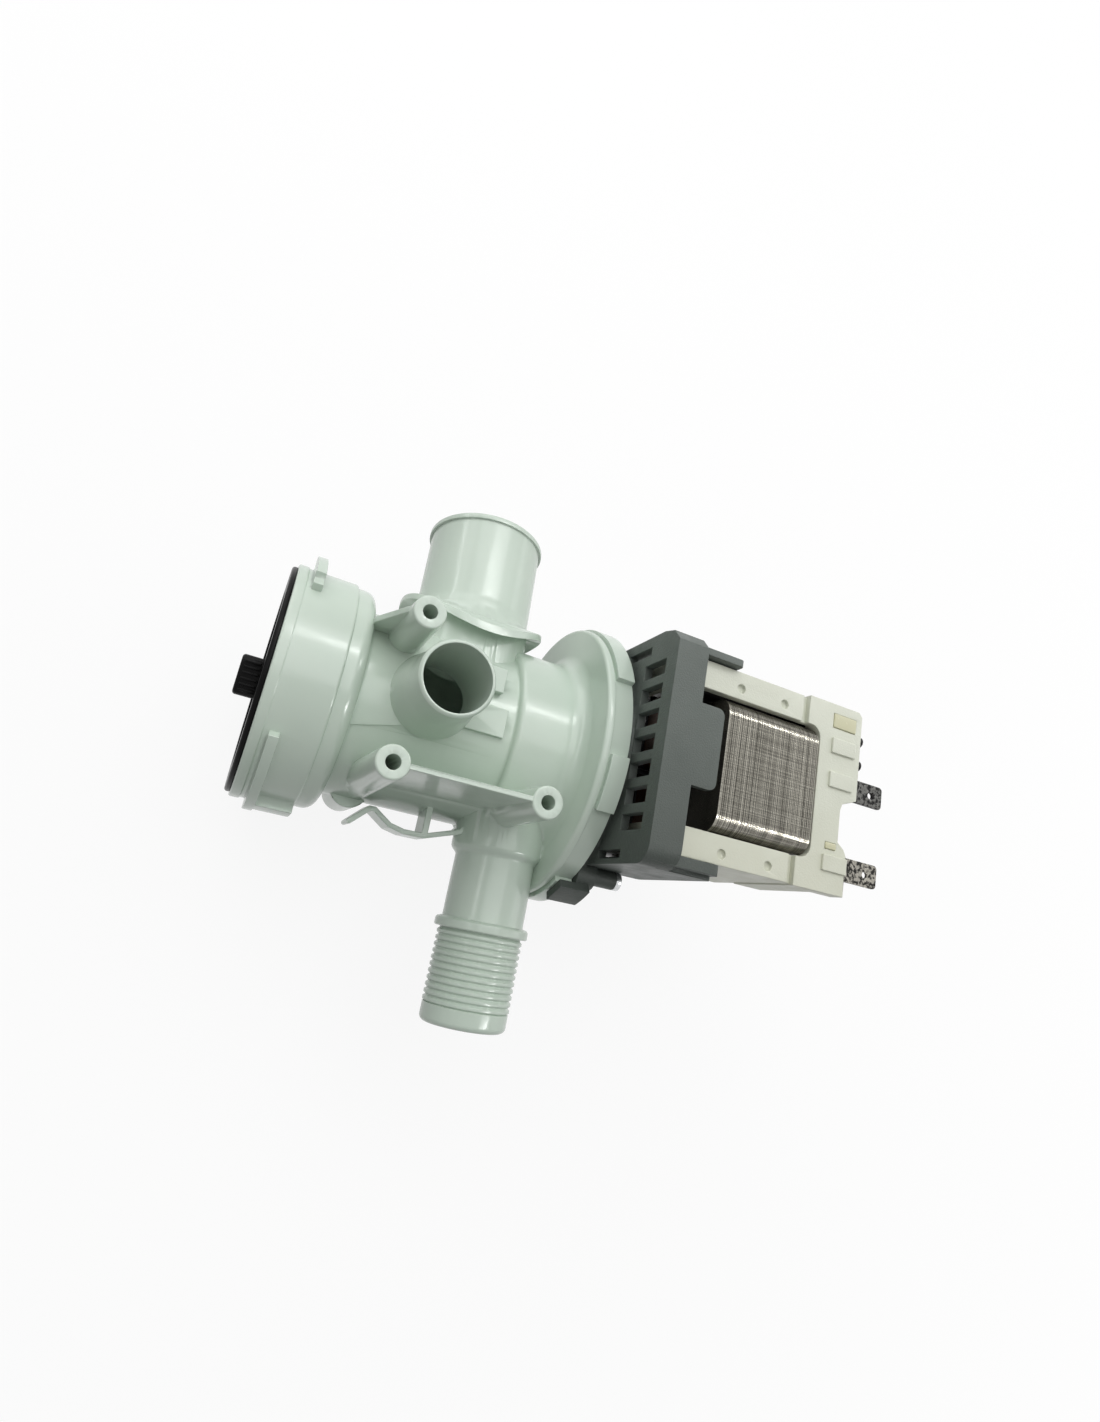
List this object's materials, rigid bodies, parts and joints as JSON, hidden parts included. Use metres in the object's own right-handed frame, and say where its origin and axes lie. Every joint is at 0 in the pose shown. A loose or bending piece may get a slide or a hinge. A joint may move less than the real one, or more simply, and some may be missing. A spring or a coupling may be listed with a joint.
{
  "type": "washing machine drain pump",
  "caption": "Drain pump with a screw-in filter cap, strainer chamber, inlet and hose spigots, screw bosses and a synchronous motor with spade terminals.",
  "frame": {"origin": "centre of the filter collar's front face, on the pump's axis", "axes": "+X along the pump's axis from the filter cap to the spade terminals, +Y towards the inlet spigot, +Z out of the screw bosses' faces"},
  "size_m": [0.1678, 0.1342, 0.0932],
  "materials": {
    "body_plastic": "pale grey-green moulded polypropylene, smooth and slightly glossy",
    "cap_plastic": "black moulded plastic, glossy",
    "seal_rubber": "black sealing rubber",
    "basket_plastic": "pale grey moulded plastic",
    "impeller_plastic": "off-white moulded plastic",
    "damper_rubber": "black soft rubber",
    "dog_plastic": "dark moulded plastic",
    "shaft_steel": "ground stainless steel",
    "hub_plastic": "dark grey moulded plastic",
    "magnet_ferrite": "dull grey sintered ferrite",
    "washer_plastic": "off-white low-friction plastic",
    "bearing_graphite": "dark grey graphite compound",
    "housing_plastic": "dark grey moulded plastic",
    "bracket_plastic": "dark green-grey moulded plastic, satin",
    "screw_steel": "bright plated steel",
    "core_steel": "bare laminated electrical steel",
    "frame_plastic": "cream glass-filled moulded plastic, satin",
    "bobbin_plastic": "cream moulded plastic",
    "winding_copper": "enamelled copper wire",
    "terminal_metal": "tinned brass, dull",
    "pin_metal": "dull tinned wire ends",
    "resin": "pale yellow sealing resin"
  },
  "bodies": {
    "pump": {"pump_body": "body_plastic", "volute_seal": "seal_rubber", "rotor_housing": "housing_plastic", "bearing_plate": "hub_plastic", "front_bearing": "bearing_graphite", "rear_bearing": "bearing_graphite", "rear_bearing_cup": "seal_rubber", "motor_bracket": "bracket_plastic", "locking_screw": "screw_steel", "core_stack": "core_steel", "coil_frame": "frame_plastic", "upper_bobbin": "bobbin_plastic", "lower_bobbin": "bobbin_plastic", "upper_winding": "winding_copper", "lower_winding": "winding_copper", "upper_terminal": "terminal_metal", "lower_terminal": "terminal_metal", "protector_pins": "pin_metal", "sealing_resin": "resin"},
    "cap_carrier": {"cap_seal": "seal_rubber"},
    "filter_cap": {"filter_cap": "cap_plastic", "filter_basket": "basket_plastic"},
    "rotor": {"rotor_shaft": "shaft_steel", "rotor_hub": "hub_plastic", "rotor_magnet": "magnet_ferrite", "drive_dog": "dog_plastic", "front_thrust_washer": "washer_plastic", "rear_thrust_washer": "washer_plastic"},
    "impeller": {"impeller": "impeller_plastic", "shock_damper": "damper_rubber"}
  },
  "joints": [
    {"name": "rotor_spin", "type": "hinge", "parent": "pump", "child": "rotor", "pos_m": [0.09, 0, 0], "axis": [1, 0, 0], "continuous": true},
    {"name": "impeller_lost_motion", "type": "hinge", "parent": "rotor", "child": "impeller", "pos_m": [0.074, 0, 0], "axis": [1, 0, 0], "range_deg": [-127, 127]},
    {"name": "cap_pull", "type": "slide", "parent": "pump", "child": "cap_carrier", "axis": [-1, 0, 0], "range_m": [0, 0.008]},
    {"name": "cap_turn", "type": "hinge", "parent": "cap_carrier", "child": "filter_cap", "pos_m": [0.005, 0, 0], "axis": [-1, 0, 0], "range_deg": [0, 360]}
  ],
  "couplings": [
    {"joint": "cap_pull", "follows": "cap_turn", "m_per_rad": 0.0012732}
  ]
}
